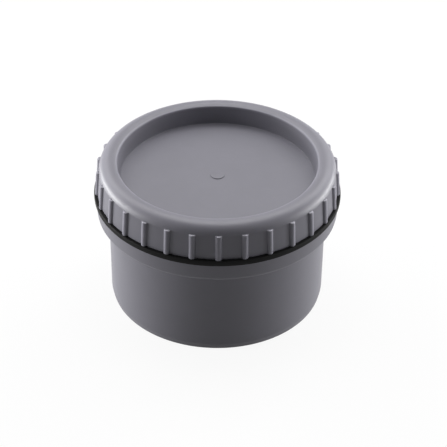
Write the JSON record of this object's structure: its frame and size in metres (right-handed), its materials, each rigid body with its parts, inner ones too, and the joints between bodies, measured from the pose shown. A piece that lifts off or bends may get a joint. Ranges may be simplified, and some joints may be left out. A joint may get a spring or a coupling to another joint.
{
  "type": "pipe end cap",
  "caption": "Screwed access end cap for a drain pipe: plain spigot body, flat rubber ring and ribbed screw cap with a recessed top.",
  "frame": {"origin": "centre of the spigot's open end", "axes": "+Z along the axis, from the spigot's end to the cap; a grip rib points along -Y"},
  "size_m": [0.1242, 0.1242, 0.0777],
  "materials": {
    "body_plastic": "semi-matte moulded drain plastic",
    "cap_plastic": "semi-matte moulded drain plastic",
    "ring_rubber": "matte black rubber"
  },
  "bodies": {
    "body": {"spigot_body": "body_plastic"},
    "ring": {"seal_ring": "ring_rubber"},
    "cap": {"screw_cap": "cap_plastic"}
  },
  "joints": [
    {"name": "cap_lift", "type": "slide", "parent": "body", "child": "ring", "axis": [0, 0, 1], "range_m": [0, 0.0125]},
    {"name": "cap_turn", "type": "hinge", "parent": "ring", "child": "cap", "pos_m": [0, 0, 0.0601], "axis": [0, 0, 1], "range_deg": [0, 900]}
  ],
  "couplings": [
    {"joint": "cap_lift", "follows": "cap_turn", "m_per_rad": 0.00079577}
  ]
}
